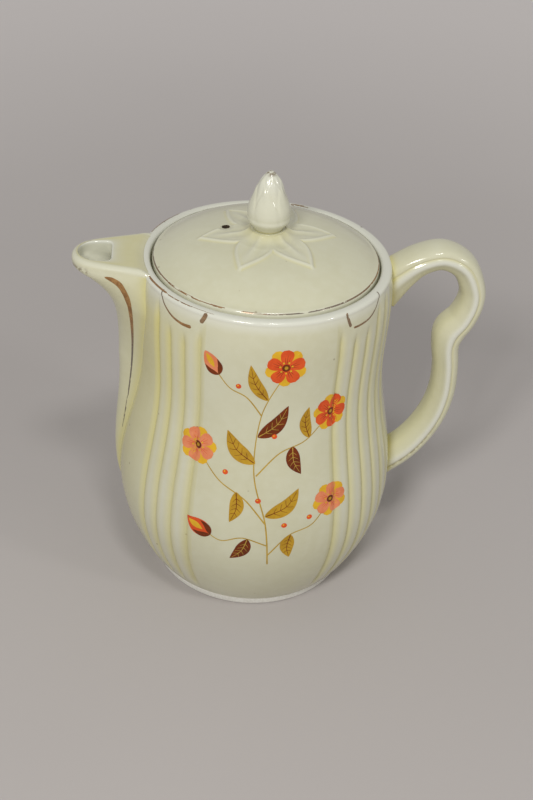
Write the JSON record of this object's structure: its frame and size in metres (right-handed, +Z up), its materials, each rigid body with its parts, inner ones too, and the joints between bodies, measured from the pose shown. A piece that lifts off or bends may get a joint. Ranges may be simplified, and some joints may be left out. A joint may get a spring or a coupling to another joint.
{
  "type": "lidded coffee pot",
  "caption": "Ivory-glazed ceramic coffee pot with reeded sides, a beak spout, a looped handle and a lift-off domed lid with a bud knob.",
  "frame": {"origin": "on the pot's axis, on the plane that the foot ring stands on", "axes": "+Z up along the pot's axis, +X towards the handle, -X towards the spout, -Y towards the front panel"},
  "size_m": [0.1859, 0.1308, 0.206],
  "materials": {
    "ivory_glaze": "gloss",
    "gold_line": "worn gilding over the glaze",
    "enamel_decal": "gloss enamel over the glaze"
  },
  "bodies": {
    "pot": {"pot_body": "ivory_glaze", "spout": "ivory_glaze", "handle": "ivory_glaze"},
    "lid": {"lid": "ivory_glaze", "knob": "ivory_glaze"}
  },
  "joints": [
    {"name": "lid_lift", "type": "slide", "parent": "pot", "child": "lid", "axis": [0, 0, 1], "range_m": [0, 0.08]}
  ]
}
